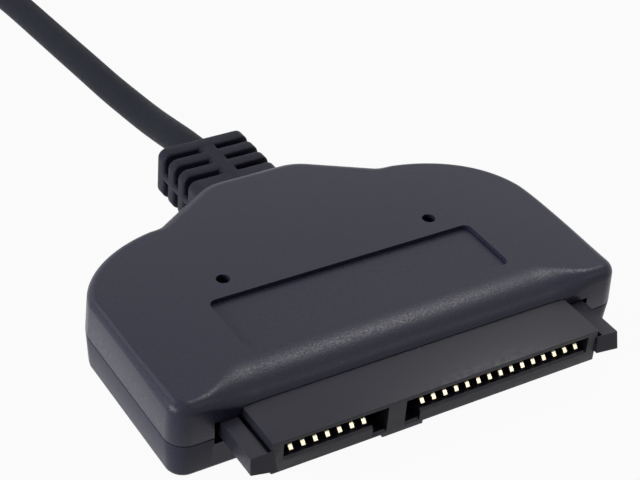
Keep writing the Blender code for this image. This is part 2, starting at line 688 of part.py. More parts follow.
def make_strain_relief():
    block_start = NECK_END_Y - 2 * PIECE_GAP
    outline = rounded_rectangle(-RELIEF_HALF_WIDTH, RELIEF_HALF_WIDTH, -RELIEF_HALF_HEIGHT,
                                RELIEF_HALF_HEIGHT, RELIEF_CORNER)
    length = RELIEF_END - block_start
    mesh = plate_mesh("strain_relief", [outline], length)
    shade_round(mesh)
    turn = (math.radians(90), 0, 0)
    block = place("strain_relief", mesh, SOFT, rotation=turn, location=(0, RELIEF_END - length / 2, RELIEF_CENTRE))
    boolean(block, place("relief_seat", prism_mesh("relief_seat", -PIECE_GAP, -WALL, HEIGHT + WALL)))

    neck = rounded_rectangle(-RELIEF_NECK_HALF_WIDTH, RELIEF_NECK_HALF_WIDTH, -RELIEF_NECK_HALF_HEIGHT,
                             RELIEF_NECK_HALF_HEIGHT, RELIEF_CORNER / 2)
    neck_end = HOUSING_LENGTH + WALL
    neck_length = neck_end - (HOUSING_LENGTH - 2 * WALL + PIECE_GAP)
    boolean(block, place("relief_neck", plate_mesh("relief_neck", [neck], neck_length), rotation=turn,
                         location=(0, neck_end - neck_length / 2, RELIEF_CENTRE)), "UNION")
    wide = RELIEF_FLANGE_HALF_WIDTH
    flange_start = HOUSING_LENGTH - WALL - PIECE_GAP - RELIEF_FLANGE_LENGTH
    box = (-wide, wide, flange_start, HOUSING_LENGTH, WALL + PIECE_GAP, HEIGHT - WALL - PIECE_GAP)
    flange = place("relief_flange", box_mesh("relief_flange", [box]))
    boolean(flange, place("flange_seat", prism_mesh("flange_seat", WALL + PIECE_GAP + DRAFT, 0.0, HEIGHT)),
            "INTERSECT")
    boolean(block, flange, "UNION")

    places = [RELIEF_END - RIB_SLOT_LAST - i * RIB_SLOT_PITCH for i in range(3)]
    outlines = [rib_slot_outline(side, up) for side in (-1, 1) for up in (-1, 1)]
    for i, y in enumerate(places):
        name = "rib_slots_%d" % (i + 1)
        boolean(block, place(name, plate_mesh(name, outlines, RIB_SLOT_WIDTH), rotation=turn,
                             location=(0, y, RELIEF_CENTRE)))
    return flange_start


def make_wires(start):
    """Conductors from the end of the strain relief to their pads on the circuit board."""
    seat = SEAT + WIRE_RADIUS
    for i, name in enumerate(WIRE_NAMES):
        offset = i - (len(WIRE_NAMES) - 1) / 2
        x0, x1 = offset * 2.6 * WIRE_RADIUS, offset * WIRE_PITCH
        y0 = start - PIECE_GAP
        y1 = BOARD_REAR - WIRE_PAD
        reach = y0 - y1
        route = [(x0, y0, RELIEF_CENTRE), (x0, y0 - 0.15 * reach, RELIEF_CENTRE + 0.1 * (seat - RELIEF_CENTRE)),
                 (x0 + 0.4 * (x1 - x0), y0 - 0.4 * reach, RELIEF_CENTRE + 0.75 * (seat - RELIEF_CENTRE)),
                 (x0 + 0.85 * (x1 - x0), y0 - 0.62 * reach, seat + 0.3 * WIRE_RADIUS),
                 (x1, y0 - 0.8 * reach, seat), (x1, y1, seat)]
        place(name, tube_mesh(name, smooth_route(route, 2.5 * WIRE_RADIUS), WIRE_RADIUS, 1), WIRE)


# Cord

CORD_START = (
    (0.0, 0.0421, 0.0032), (-0.0003, 0.0455, 0.0030), (-0.0006, 0.0495, 0.0025), (-0.0009, 0.0540, 0.0020),
    (-0.00125, 0.0580, 0.00182), (-0.0016, 0.06125, 0.00178), (-0.0020, 0.0660, 0.00178),
    (-0.00241, 0.0709, 0.00178), (-0.00305, 0.0786, 0.00178), (-0.0035, 0.0840, 0.00178),
    (-0.0041, 0.0890, 0.00178), (-0.0053, 0.0945, 0.00178), (-0.0070, 0.1000, 0.00178),
    (-0.0083, 0.1045, 0.00178),
)
CROSSING = (-0.0084, 0.1090)

# Sideways and outward from the crossing, and the share of the way down from the hump to the plug's entry
CORD_END = ((0.0, 0.0, 0.0), (-0.0014, 0.0060, 0.0), (-0.0026, 0.0125, 0.4), (-0.0032, 0.0200, 1.0),
            (-0.0033, 0.0275, 1.0))


def cord_route():
    """Route of the cord: over the floor, once round a loop, over itself in a low hump, to the plug."""
    points = [(x, y + RELIEF_END + PIECE_GAP - CORD_START[0][1], z) for x, y, z in CORD_START]
    px, py = CROSSING[0], CROSSING[1] + RELIEF_END + PIECE_GAP - CORD_START[0][1]
    centre = px + LOOP_RADIUS / math.cos(LOOP_TILT)
    lead = LOOP_RADIUS * math.tan(LOOP_TILT)
    points.append((px, py, CORD_REST))
    total = 2 * math.pi - 2 * LOOP_TILT
    steps = 14
    for step in range(steps + 1):
        turn = math.pi - LOOP_TILT - total * step / steps
        before = lead + LOOP_RADIUS * total * (1 - step / steps)
        points.append((centre + LOOP_RADIUS * math.cos(turn), py + LOOP_RADIUS * math.sin(turn),
                       hump_height(before)))
    over = 2 * CORD_RADIUS + CORD_REST + 0.4 * PIECE_GAP
    entry = GRIP_HEIGHT / 2
    points += [(px + dx, py + dy, over + (entry - over) * share) for dx, dy, share in CORD_END]
    return points


def hump_height(before):
    """Height of the cord at a distance ahead of the point where it crosses over itself."""
    over = 2 * CORD_RADIUS + CORD_REST + 0.4 * PIECE_GAP
    return fade(over, CORD_REST, (before - 3.2 * CORD_RADIUS) / (12 * CORD_RADIUS))


def make_cord():
    route = [(x, y, max(z, CORD_REST)) for x, y, z in smooth_route(cord_route(), CORD_STEP)]
    place("cable", tube_mesh("cable", route, CORD_RADIUS, 2), CORD)
    return route[-1]


# Plug

def make_plug(end):
    x, y = end[0], end[1] + PIECE_GAP
    middle = GRIP_HEIGHT / 2
    half, nose = GRIP_HALF_WIDTH, GRIP_NOSE_HALF_WIDTH
    outline = [(-nose, 0.0), (nose, 0.0), (half, GRIP_NOSE), (half, GRIP_LENGTH), (-half, GRIP_LENGTH),
               (-half, GRIP_NOSE)]
    grip = place("plug_grip", plate_mesh("plug_grip", [outline], GRIP_HEIGHT), SOFT, location=(x, y, middle))
    edges = grip.modifiers.new("edges", "BEVEL")
    edges.width = GRIP_EDGE
    edges.segments = 3
    edges.limit_method = "ANGLE"
    front = GRIP_LENGTH
    root = front - PLUG_ROOT
    wide, tall = PLUG_HALF_WIDTH, PLUG_HEIGHT / 2
    gap = PIECE_GAP
    seat = box_mesh("plug_seat", [(-wide - gap, wide + gap, root - gap, front + gap, -tall - gap, tall + gap)])
    boolean(grip, place("plug_seat", seat, location=(x, y, middle)))

    tip = front + PLUG_REACH
    turn = (math.radians(90), 0, 0)
    sheet = PLUG_SHEET
    outer = rounded_rectangle(-wide, wide, -tall, tall, 2 * sheet, 3)
    inner = rounded_rectangle(-wide + sheet, wide - sheet, -tall + sheet, tall - sheet, sheet, 3)
    length = tip - root
    centre = (x, y + root + length / 2, middle)
    shell = place("plug_shell", plate_mesh("plug_shell", [outer], length), STEEL, rotation=turn, location=centre)
    boolean(shell, place("shell_bore", plate_mesh("shell_bore", [inner], 2 * length), rotation=turn,
                         location=centre))
    window_end = tip - WINDOW_SETBACK
    windows = [(side * WINDOW_OFFSET - WINDOW_WIDTH / 2, side * WINDOW_OFFSET + WINDOW_WIDTH / 2,
                window_end - WINDOW_LENGTH, window_end, -2 * tall, 2 * tall) for side in (-1, 1)]
    boolean(shell, place("shell_windows", box_mesh("shell_windows", windows), location=(x, y, middle)))

    room = sheet + CONTACT_GAP
    body = (-wide + room, wide - room, root, front + INSULATOR_DEPTH, -tall + room, tall - room)
    tongue_low = tall - room - TONGUE_THICKNESS
    tongue = (-wide + room, wide - room, front, tip - sheet, tongue_low, tall - room)
    insulator = place("plug_insulator", box_mesh("plug_insulator", [body]), BLUE, location=(x, y, middle))
    boolean(insulator, place("plug_tongue", box_mesh("plug_tongue", [tongue]), location=(x, y, middle)), "UNION")
    make_plug_contacts((x, y, middle), body[3], tip, tongue_low - CONTACT_GAP)


def make_plug_contacts(location, start, tip, low):
    """Four long blades near the mouth of the plug and five short ones behind them, under the tongue."""
    thick, half, rear_half = PLUG_CONTACT_THICKNESS, BLADE_WIDTH / 2, REAR_BLADE_WIDTH / 2
    blades = [(offset - half, offset + half, start + BLADE_START, tip - BLADE_SETBACK, low - thick, low)
              for offset in BLADE_OFFSETS]
    rear_offsets = [REAR_BLADE_PITCH * (i - 2) for i in range(5)]
    rear = start + PIECE_GAP
    blades += [(offset - rear_half, offset + rear_half, rear, rear + REAR_BLADE_LENGTH, low - 2 * thick, low)
               for offset in rear_offsets]
    for i, blade in enumerate(blades):
        name = "plug_contact_%d" % (i + 1)
        place(name, box_mesh(name, [blade]), GOLD, location=location)


clear_scene()
PIECES = new_collection("usb_to_sata_adapter")
CUTTERS = new_collection("cutters")
ROOT = bpy.data.objects.new("adapter", None)
PIECES.objects.link(ROOT)
ROOT.location = (0, -CENTRE_Y, 0)

SHELL = new_material("slate_plastic", (0.060, 0.060, 0.080), 0.55)
MOULDING = new_material("connector_plastic", (0.040, 0.040, 0.050), 0.40)
SOFT = new_material("relief_plastic", (0.035, 0.035, 0.042), 0.45)
CORD = new_material("cord_jacket", (0.022, 0.022, 0.026), 0.40)
GOLD = new_material("gold_contact", (0.80, 0.62, 0.30), 0.28, 1.0)
LAMINATE = new_material("board_green", (0.02, 0.12, 0.05), 0.45)
CHIP_BLACK = new_material("chip_black", (0.02, 0.02, 0.02), 0.50)
FERRITE = new_material("ferrite_grey", (0.08, 0.08, 0.09), 0.60)
CERAMIC = new_material("ceramic_tan", (0.42, 0.30, 0.18), 0.50)
LENS = new_material("led_clear", (0.75, 0.78, 0.70), 0.20)
STEEL = new_material("plated_steel", (0.62, 0.62, 0.64), 0.25, 1.0)
WIRE = new_material("wire_insulation", (0.45, 0.06, 0.05), 0.45)
BLUE = new_material("blue_insulator", (0.02, 0.12, 0.55), 0.40)

opening_front = connector_opening()
opening_rear = relief_opening()
make_top_cover(opening_front, opening_rear)
make_bottom_cover(opening_front, opening_rear)
make_connector()
make_contacts()
make_board()
make_wires(make_strain_relief())
make_plug(make_cord())
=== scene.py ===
"""Looks of the USB to SATA adapter: fine housing shells, connector, ribbed strain relief, cord and plug."""
import math

import bmesh
import bpy
import numpy as np
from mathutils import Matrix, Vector


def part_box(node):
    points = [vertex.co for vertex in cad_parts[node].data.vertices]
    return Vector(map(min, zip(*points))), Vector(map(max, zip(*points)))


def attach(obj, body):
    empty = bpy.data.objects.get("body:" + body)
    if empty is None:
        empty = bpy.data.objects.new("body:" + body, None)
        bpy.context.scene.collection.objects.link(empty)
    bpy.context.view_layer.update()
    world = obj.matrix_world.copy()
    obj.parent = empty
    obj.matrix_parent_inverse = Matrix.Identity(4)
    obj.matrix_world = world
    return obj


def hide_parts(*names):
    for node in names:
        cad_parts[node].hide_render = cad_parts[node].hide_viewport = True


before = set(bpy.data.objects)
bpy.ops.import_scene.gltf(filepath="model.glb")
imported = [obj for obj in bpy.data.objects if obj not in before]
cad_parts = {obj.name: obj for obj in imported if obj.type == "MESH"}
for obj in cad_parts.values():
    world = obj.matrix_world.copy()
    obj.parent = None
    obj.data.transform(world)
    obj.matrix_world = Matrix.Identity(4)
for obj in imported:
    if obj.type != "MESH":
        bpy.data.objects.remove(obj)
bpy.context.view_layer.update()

# Sizes read from the frame; the housing's front edge lies at FRONT
TOP_LOW, TOP_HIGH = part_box("top_cover")
BASE_LOW, BASE_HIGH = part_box("bottom_cover")
BODY_LOW, BODY_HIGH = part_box("connector_body")
RELIEF_LOW, RELIEF_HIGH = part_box("strain_relief")
FRONT = TOP_LOW[1]
HALF_WIDTH = TOP_HIGH[0]
HEIGHT = TOP_HIGH[2]
SEAM = (TOP_LOW[2] + BASE_HIGH[2]) / 2


def middle_x(node):
    low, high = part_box(node)
    return (low[0] + high[0]) / 2


# Housing seen from above
FRONT_CORNER = 0.0020
SIDE_LENGTH = 0.0158
SHOULDER_LENGTH = 0.0105
SHOULDER_END = 0.0110
NECK_X = 0.0136
NECK_BLEND = 0.0009
NECK_ANGLE = math.radians(32)
REAR_BLEND = 0.0060
REAR_SHIFT = 0.00035
WALL = 0.0014
DRAFT = 0.00015
FRONT_FILLET = 0.0027
FRONT_REACH = 0.0046
CORNER_FILLET = 0.0012
SIDE_FILLET = 0.0009
REAR_FILLET = 0.0015
BASE_FILLET = 0.0005
BASE_DRAFT = 0.00025
SEAM_GAP = 0.00006
SEAM_EDGE = 0.00010
FIT_GAP = 0.00008
CLEAR = 0.0003

# Recess and light holes
RECESS_HALF_WIDTH = 0.01495
RECESS_FRONT = 0.0055
RECESS_LENGTH = 0.00738
RECESS_CORNER = 0.0008
RECESS_DEPTH = 0.00045
HOLE_RADIUS = 0.0007
HOLE_X = 0.0119
HOLE_Y = 0.0154

# Connector
CONNECTOR_REACH = 0.00519
KEEL_DROP = 0.00035
KEEL_MARGIN = 0.0004
CONNECTOR_TOP = BODY_HIGH[2]
CONNECTOR_BASE = BODY_LOW[2] + KEEL_DROP
CONNECTOR_DEPTH = BODY_HIGH[1] - FRONT
CONNECTOR_CHAMFER = 0.00008
CONNECTOR_EDGE = 0.00007
SLOT_FLOOR = 0.0041
SLOT_CEILING = 0.0058
SLOT_LEG_FLOOR = 0.0031
SLOT_DEPTH = 0.0062
SLOT_LEAD_IN = 0.00023
SLOT_END_MARGIN = 0.001025
SLOT_SIDE_WALL = 0.00114
SIGNAL_LEG = 0.00155
SIGNAL_LEG_MARGIN = 0.00228
SIGNAL_SLOT = (middle_x("contact_s1") - SLOT_END_MARGIN, middle_x("contact_s7") + SIGNAL_LEG_MARGIN)
POWER_LEG = 0.00168
POWER_LEG_MARGIN = 0.00214
POWER_SLOT = (middle_x("contact_p1") - POWER_LEG_MARGIN, middle_x("contact_p15") + SLOT_END_MARGIN)
CONNECTOR_HALF_WIDTH = POWER_SLOT[1] + SLOT_SIDE_WALL
EAR_GROOVE = 0.00056
EAR_INNER = CONNECTOR_HALF_WIDTH + EAR_GROOVE
EAR_OUTER = BODY_HIGH[0]
EAR_BASE = 0.00375
EAR_FLOOR = 0.00475
EAR_TOP = 0.0055
EAR_BRIDGE = 0.0052
EAR_TIP = FRONT - BODY_LOW[1]
EAR_NOSE_SLOPE = 0.0002
EAR_ROOM = 0.0006

# How far the nose of the left and of the right ear reaches at its top, outer low and inner low corners
EAR_NOSES = {-1: (0.0053, 0.0055, EAR_TIP), 1: (0.0054, 0.0059, 0.0056)}

# Contacts
CONTACT_WIDTH = 0.0004
CONTACT_THICKNESS = 0.0002
CONTACT_LIFT = 0.00023
CONTACT_LEVEL = SLOT_FLOOR + CONTACT_LIFT
# Line of a contact in the slot, as distances behind the connector's face and above its level
CONTACT_PROFILE = ((0.00045, 0.00006), (0.00076, 0.00040), (0.00093, 0.00049), (0.00120, 0.00049),
                   (0.00160, 0.00042), (0.0040, 0.0))
CONTACT_TAIL = 0.0005
CONTACT_DROP = 0.0003
CONTACT_FOOT = 0.0013

# Strain relief
RELIEF_HALF_WIDTH = RELIEF_HIGH[0]
RELIEF_HALF_HEIGHT = 0.00285
RELIEF_CENTRE = 0.0030
RELIEF_CORNER = 0.0010
RELIEF_EDGE = 0.00028
RELIEF_NECK_HALF_WIDTH = 0.0032
RELIEF_NECK_HALF_HEIGHT = 0.0021
RIB_SLOT_WIDTH = 0.00085
RIB_SLOT_DEPTH = 0.0010
RIB_SLOT_PITCH = 0.0023
RIB_SLOT_LAST = 0.00205
RIB_TOP_SPINE = 0.00087
RIB_SIDE_SPINE = 0.0004

# Cord, drawn thinner by its skin so that it stays inside the solid's flat facets
CORD_RADIUS = 0.00175
CORD_SKIN = 0.00002
CORD_REST = 0.00178
CORD_GAP = 0.00012
CORD_OVER = 2 * CORD_RADIUS + CORD_REST + CORD_GAP
CORD_STEP = 0.0010
LOOP_RADIUS = 0.0175
LOOP_TILT = math.radians(15)
HUMP_FLAT = 3.2 * CORD_RADIUS
HUMP_RUN = 12 * CORD_RADIUS

# Plug
GRIP_LOW, GRIP_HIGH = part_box("plug_grip")
SHELL_LOW, SHELL_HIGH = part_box("plug_shell")
GRIP_NOSE = 0.0070
GRIP_NOSE_HALF_WIDTH = 0.0045
GRIP_EDGE = 0.0012
PLUG_SHEET = 0.0003
WINDOW_X = 0.00275
WINDOW_HALF_WIDTH = 0.00125
WINDOW_FRONT = 0.0052
WINDOW_BACK = 0.0072

HOUSING_LENGTH = TOP_HIGH[1] - FRONT
SHOULDER_WIDTH = HALF_WIDTH - SHOULDER_END


def shoulder_y(x):
    return SIDE_LENGTH + SHOULDER_LENGTH * math.sqrt(1 - ((x - SHOULDER_END) / SHOULDER_WIDTH) ** 2)


NECK_Y = shoulder_y(NECK_X)
REAR_CORNER_X = NECK_X - (HOUSING_LENGTH - NECK_Y) / math.tan(NECK_ANGLE)
REAR_FLAT = REAR_CORNER_X - REAR_BLEND * math.tan(NECK_ANGLE / 2)
NECK_END_Y = HOUSING_LENGTH - REAR_BLEND * (1 - math.cos(NECK_ANGLE))
RELIEF_END = RELIEF_HIGH[1] - FRONT
FACE_Y = -CONNECTOR_REACH


# Pieces

def add(name, mesh, paint=None, location=(0, 0, 0), rotation=(0, 0, 0), nodes=()):
    """Place a mesh in the housing's own frame: a piece when it has a paint, else a cutting shape."""
    item = bpy.data.objects.new(name, mesh)
    item.location = (location[0], location[1] + FRONT, location[2])
    item.rotation_euler = rotation
    bpy.context.scene.collection.objects.link(item)
    if paint is not None:
        mesh.materials.clear()
        mesh.materials.append(paint)
        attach(item, "root")
        if nodes:
            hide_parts(*nodes)
    return item


def carve(item, cutters, operation="DIFFERENCE"):
    """Cut or join shapes in turn and keep the result as the piece's own mesh."""
    for cutter in cutters:
        step = item.modifiers.new(cutter.name, "BOOLEAN")
        step.operation = operation
        step.solver = "EXACT"
        step.object = cutter
    settle(item)
    for cutter in cutters:
        mesh = cutter.data
        bpy.data.objects.remove(cutter, do_unlink=True)
        bpy.data.meshes.remove(mesh)


def settle(item):
    """Replace a piece's mesh with the result of its modifiers."""
    bpy.context.view_layer.update()
    evaluated = item.evaluated_get(bpy.context.evaluated_depsgraph_get())
    mesh = bpy.data.meshes.new_from_object(evaluated)
    item.modifiers.clear()
    old = item.data
    item.data = mesh
    mesh.name = old.name
    bpy.data.meshes.remove(old)


def round_edges(item, width, segments=3, limit=math.radians(35)):
    step = item.modifiers.new("edges", "BEVEL")
    step.width = width
    step.segments = segments
    step.limit_method = "ANGLE"
    step.angle_limit = limit
    step.harden_normals = False
    settle(item)


def shade_round(item, limit=math.radians(35)):
    """Shade a piece smooth, keeping an edge sharp where its faces meet at more than the limit."""
    form = bmesh.new()
    form.from_mesh(item.data)
    for face in form.faces:
        face.smooth = True
    for edge in form.edges:
        edge.smooth = len(edge.link_faces) == 2 and edge.calc_face_angle(0.0) < limit
    form.to_mesh(item.data)
    form.free()


# Shapes

def box_mesh(name, boxes):
    """Boxes given as (x0, x1, y0, y1, z0, z1), apart from each other, in one mesh."""
    form = bmesh.new()
    for x0, x1, y0, y1, z0, z1 in boxes:
        corners = bmesh.ops.create_cube(form, size=1.0)["verts"]
        bmesh.ops.scale(form, vec=(x1 - x0, y1 - y0, z1 - z0), verts=corners)
        bmesh.ops.translate(form, vec=((x0 + x1) / 2, (y0 + y1) / 2, (z0 + z1) / 2), verts=corners)
    mesh = bpy.data.meshes.new(name)
    form.to_mesh(mesh)
    form.free()
    return mesh


def cylinder_mesh(name, cylinders, segments=48):
    form = bmesh.new()
    for x, y, z0, z1, radius in cylinders:
        corners = bmesh.ops.create_cone(form, cap_ends=True, segments=segments, radius1=radius,
                                        radius2=radius, depth=z1 - z0)["verts"]
        bmesh.ops.translate(form, vec=(x, y, (z0 + z1) / 2), verts=corners)
    mesh = bpy.data.meshes.new(name)
    form.to_mesh(mesh)
    form.free()
    return mesh


def plate_mesh(name, outlines, thickness):
    """Flat outlines extruded to a thickness about their own plane."""
    form = bmesh.new()
    for outline in outlines:
        low = [form.verts.new((x, y, -thickness / 2)) for x, y in outline]
        high = [form.verts.new((x, y, thickness / 2)) for x, y in outline]
        count = len(outline)
        for i in range(count):
            j = (i + 1) % count
            form.faces.new((low[i], low[j], high[j], high[i]))
        form.faces.new(low[::-1])
        form.faces.new(high)
    bmesh.ops.recalc_face_normals(form, faces=form.faces)
    mesh = bpy.data.meshes.new(name)
    form.to_mesh(mesh)
    form.free()
    return mesh


def loft_mesh(name, lofts):
    """Closed bodies drawn through rings of equal point counts, the two ends filled flat."""
    form = bmesh.new()
    for rings in lofts:
        rows = [[form.verts.new(point) for point in ring] for ring in rings]
        count = len(rows[0])
        for lower, upper in zip(rows, rows[1:]):
            for i in range(count):
                j = (i + 1) % count
                form.faces.new((lower[i], lower[j], upper[j], upper[i]))
        form.faces.new(list(reversed(rows[0])))
        form.faces.new(rows[-1])
    bmesh.ops.recalc_face_normals(form, faces=form.faces)
    mesh = bpy.data.meshes.new(name)
    form.to_mesh(mesh)
    form.free()
    return mesh


def hull_mesh(name, groups):
    """Convex bodies, each drawn tight round its own group of points."""
    form = bmesh.new()
    for points in groups:
        corners = [form.verts.new(point) for point in points]
        bmesh.ops.convex_hull(form, input=corners)
    bmesh.ops.recalc_face_normals(form, faces=form.faces)
    mesh = bpy.data.meshes.new(name)
    form.to_mesh(mesh)
    form.free()
    return mesh


def rounded_rectangle(x0, x1, y0, y1, radius, steps=10):
    points = []
    corners = ((x1 - radius, y0 + radius, -90), (x1 - radius, y1 - radius, 0),
               (x0 + radius, y1 - radius, 90), (x0 + radius, y0 + radius, 180))
    for cx, cy, start in corners:
        for step in range(steps + 1):
            turn = math.radians(start + 90 * step / steps)
            points.append((cx + radius * math.cos(turn), cy + radius * math.sin(turn)))
    return points


def fade(first, last, share):
    """From the first to the last value, with a soft start and end."""
    share = min(max(share, 0.0), 1.0)
    return first + (last - first) * share * share * (3 - 2 * share)


# Housing

def right_outline():
    """Right half of the plan outline from front to rear: x, y, outward direction, top fillet."""
    points = []
    flat = HALF_WIDTH - FRONT_CORNER
    for step in range(24):
        share = step / 24
        fillet = fade(FRONT_FILLET, CORNER_FILLET, (share - 0.7) / 0.3)
        points.append((flat * share, 0.0, 0.0, -1.0, fillet))
    for step in range(17):
        turn = math.radians(90 * step / 16)
        points.append((flat + FRONT_CORNER * math.sin(turn), FRONT_CORNER * (1 - math.cos(turn)),
                       math.sin(turn), -math.cos(turn), CORNER_FILLET))
    for step in range(1, 12):
        share = step / 12
        y = FRONT_CORNER + (SIDE_LENGTH - FRONT_CORNER) * share
        points.append((HALF_WIDTH, y, 1.0, 0.0, fade(CORNER_FILLET, SIDE_FILLET, share / 0.6)))
    sweep = math.acos((NECK_X + NECK_BLEND - SHOULDER_END) / SHOULDER_WIDTH)
    for step in range(48):
        turn = sweep * step / 48
        slope = Vector((math.cos(turn) / SHOULDER_WIDTH, math.sin(turn) / SHOULDER_LENGTH)).normalized()
        points.append((SHOULDER_END + SHOULDER_WIDTH * math.cos(turn),
                       SIDE_LENGTH + SHOULDER_LENGTH * math.sin(turn), slope.x, slope.y, SIDE_FILLET))
    first = Vector((NECK_X + NECK_BLEND, shoulder_y(NECK_X + NECK_BLEND)))
    middle = Vector((NECK_X, NECK_Y))
    last = middle + Vector((-NECK_BLEND, NECK_BLEND * math.tan(NECK_ANGLE)))
    for step in range(13):
        t = step / 12
        point = first * (1 - t) ** 2 + middle * 2 * t * (1 - t) + last * t ** 2
        along = ((middle - first) * (1 - t) + (last - middle) * t).normalized()
        points.append((point.x, point.y, along.y, -along.x, fade(SIDE_FILLET, REAR_FILLET, t)))
    for step in range(13):
        turn = NECK_ANGLE * (1 - step / 12)
        points.append((REAR_FLAT + REAR_BLEND * math.sin(turn),
                       HOUSING_LENGTH - REAR_BLEND * (1 - math.cos(turn)),
                       math.sin(turn), math.cos(turn), REAR_FILLET))
    points.append((0.0, HOUSING_LENGTH, 0.0, 1.0, REAR_FILLET))
    return points


def drift(y):
    """Sideways shift of the housing's rear, which lies a little to the left in the photo."""
    return -fade(0.0, REAR_SHIFT, (y - RECESS_FRONT - RECESS_LENGTH) / RECESS_LENGTH)


RIGHT = right_outline()
HALVES = RIGHT + [(-x, y, -nx, ny, fillet) for x, y, nx, ny, fillet in RIGHT[1:-1]][::-1]
OUTLINE = [(max(x + drift(y), -HALF_WIDTH), y, nx, ny, fillet) for x, y, nx, ny, fillet in HALVES]


def ring(inset, height):
    """The outline drawn in by an inset at a height, each a number or worked out from the top fillet."""
    points = []
    for x, y, nx, ny, fillet in OUTLINE:
        away = inset(fillet) if callable(inset) else inset
        level = height(fillet) if callable(height) else height
        points.append((x - nx * away, y - ny * away, level))
    return points


def stretch(fillet):
    """How much further a top fillet goes in from the edge than it goes down."""
    share = max(fillet - REAR_FILLET, 0.0) / (FRONT_FILLET - REAR_FILLET)
    return 1 + (FRONT_REACH / FRONT_FILLET - 1) * share


def dome(wall, steps):
    """Rings of the rounded top edge at a depth below the outer surface."""
    rings = []
    for step in range(steps + 1):
        turn = math.radians(90 * step / steps)

        def inset(fillet):
            radius = max(fillet - wall, CLEAR)
            return wall + DRAFT + radius * stretch(fillet) * (1 - math.cos(turn))

        def level(fillet):
            radius = max(fillet - wall, CLEAR)
            return HEIGHT - wall - radius * (1 - math.sin(turn))

        rings.append(ring(inset, level))
    return rings


def seam_rings(level, side):
    """Small round at a seam edge, from the meeting face outwards."""
    return [ring(SEAM_EDGE, level), ring(0.3 * SEAM_EDGE, level + side * 0.3 * SEAM_EDGE),
            ring(0.0, level + side * SEAM_EDGE)]


def opening(name, gap):
    """The connector's section with a gap round it and room round its ears, to cut the front wall."""
    main, ear = CONNECTOR_HALF_WIDTH + gap, EAR_OUTER + EAR_ROOM
    low, high = CONNECTOR_BASE - gap, CONNECTOR_TOP + gap
    ear_low, ear_high = EAR_BASE - EAR_ROOM, EAR_TOP + gap
    right = [(main, low), (main, ear_low), (ear, ear_low), (ear, ear_high), (main, ear_high), (main, high)]
    outline = [(-main, low)] + right + [(-x, z) for x, z in right[:0:-1]]
    depth = 2 * (WALL + CLEAR) + CORNER_FILLET
    return add(name, plate_mesh(name, [outline], depth), rotation=(math.radians(90), 0, 0),
               location=(0, WALL + CLEAR, 0))


def rear_hole(name, gap):
    outline = rounded_rectangle(-RELIEF_NECK_HALF_WIDTH - gap, RELIEF_NECK_HALF_WIDTH + gap,
                                -RELIEF_NECK_HALF_HEIGHT - gap, RELIEF_NECK_HALF_HEIGHT + gap,
                                RELIEF_CORNER / 2 + gap, 6)
    return add(name, plate_mesh(name, [outline], 3 * WALL), rotation=(math.radians(90), 0, 0),
               location=(-REAR_SHIFT, HOUSING_LENGTH - WALL / 2, RELIEF_CENTRE))


def make_housing():
    """Two hollow shells that meet at the seam, with openings for the connector and the relief's neck."""
    level = SEAM + SEAM_GAP / 2
    top = add("top_shell", loft_mesh("top_shell", [seam_rings(level, 1) + dome(0.0, 16)]), HOUSING_PAINT,
              nodes=("top_cover",))
    cavity = add("top_cavity", loft_mesh("top_cavity", [[ring(WALL, SEAM - WALL)] + dome(WALL, 4)]))
    recess = rounded_rectangle(-RECESS_HALF_WIDTH, RECESS_HALF_WIDTH, RECESS_FRONT,
                               RECESS_FRONT + RECESS_LENGTH, RECESS_CORNER)
    dent = add("recess", plate_mesh("recess", [recess], 2 * RECESS_DEPTH), location=(0, 0, HEIGHT))
    holes = add("light_holes", cylinder_mesh("light_holes", [
        (side * HOLE_X, HOLE_Y, HEIGHT - 2 * WALL, HEIGHT + WALL, HOLE_RADIUS) for side in (-1, 1)]))
    carve(top, [cavity, opening("front_hole_top", FIT_GAP), rear_hole("rear_hole_top", FIT_GAP), dent,
                holes])
    shade_round(top)

    level = SEAM - SEAM_GAP / 2
    rings = []
    for step in range(9):
        turn = math.radians(90 * step / 8)
        rings.append(ring(BASE_DRAFT + BASE_FILLET * (1 - math.sin(turn)),
                          BASE_FILLET * (1 - math.cos(turn))))
    rings += seam_rings(level, -1)[::-1]
    base = add("bottom_shell", loft_mesh("bottom_shell", [rings]), HOUSING_PAINT,
               nodes=("bottom_cover",))
    hollow = add("bottom_cavity", loft_mesh("bottom_cavity", [
        [ring(WALL + BASE_DRAFT, WALL), ring(WALL, HEIGHT)]]))
    carve(base, [hollow, opening("front_hole_base", FIT_GAP), rear_hole("rear_hole_base", FIT_GAP)])
    shade_round(base)


# Connector

def ear_rings(side):
    """One ear behind its nose: an upright beside the low floor of a groove along the connector."""
    inner = CONNECTOR_HALF_WIDTH - CLEAR
    section = [(inner, EAR_BASE), (EAR_OUTER, EAR_BASE), (EAR_OUTER, EAR_TOP), (EAR_INNER, EAR_TOP),
               (EAR_INNER, EAR_FLOOR), (inner, EAR_FLOOR)]
    ends = (CONNECTOR_DEPTH - WALL, -EAR_BRIDGE - SEAM_GAP)
    return [[(side * x, y, z) for x, z in section] for y in ends]


def ear_nose(side):
    """Corners of the block that closes the groove in front; its face is creased from corner to corner."""
    inner = side * (CONNECTOR_HALF_WIDTH - SEAM_EDGE)
    outer = side * EAR_OUTER
    top, outer_low, inner_low = EAR_NOSES[side]
    return [(inner, -EAR_BRIDGE, EAR_BASE), (outer, -EAR_BRIDGE, EAR_BASE),
            (outer, -EAR_BRIDGE, EAR_TOP), (inner, -EAR_BRIDGE, EAR_TOP),
            (inner, -inner_low, EAR_BASE), (outer, -outer_low, EAR_BASE),
            (outer, -top, EAR_TOP), (inner, -top, EAR_TOP - EAR_NOSE_SLOPE)]


